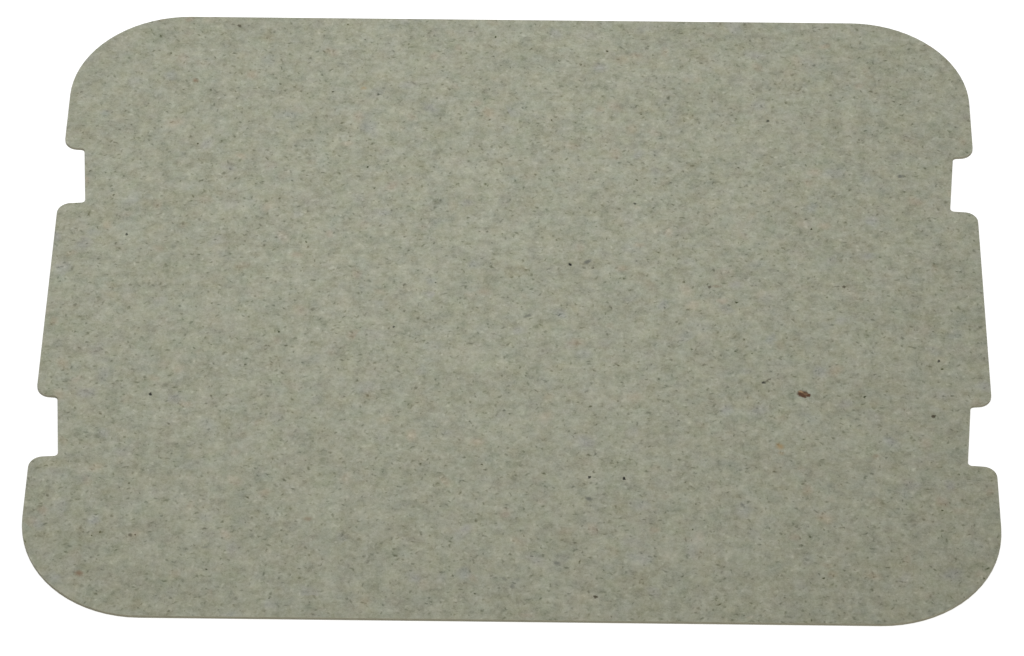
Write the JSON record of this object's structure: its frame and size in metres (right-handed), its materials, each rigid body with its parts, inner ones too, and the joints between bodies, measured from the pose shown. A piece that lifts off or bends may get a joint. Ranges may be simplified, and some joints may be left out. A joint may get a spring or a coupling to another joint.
{
  "type": "microwave waveguide cover",
  "caption": "Flat mica board cover with rounded corners and ramped side notches, which shields the waveguide outlet in a microwave oven's cavity.",
  "frame": {"origin": "middle of the back face, on which the sheet lies", "axes": "+X along the long side, from one notched side to the other; +Y towards the plain edge that the notches' shallow ends face; +Z out of the front face"},
  "size_m": [0.125, 0.109, 0.0004],
  "materials": {
    "mica_board": "matte"
  },
  "bodies": {
    "root": {"mica_sheet": "mica_board"}
  },
  "joints": []
}
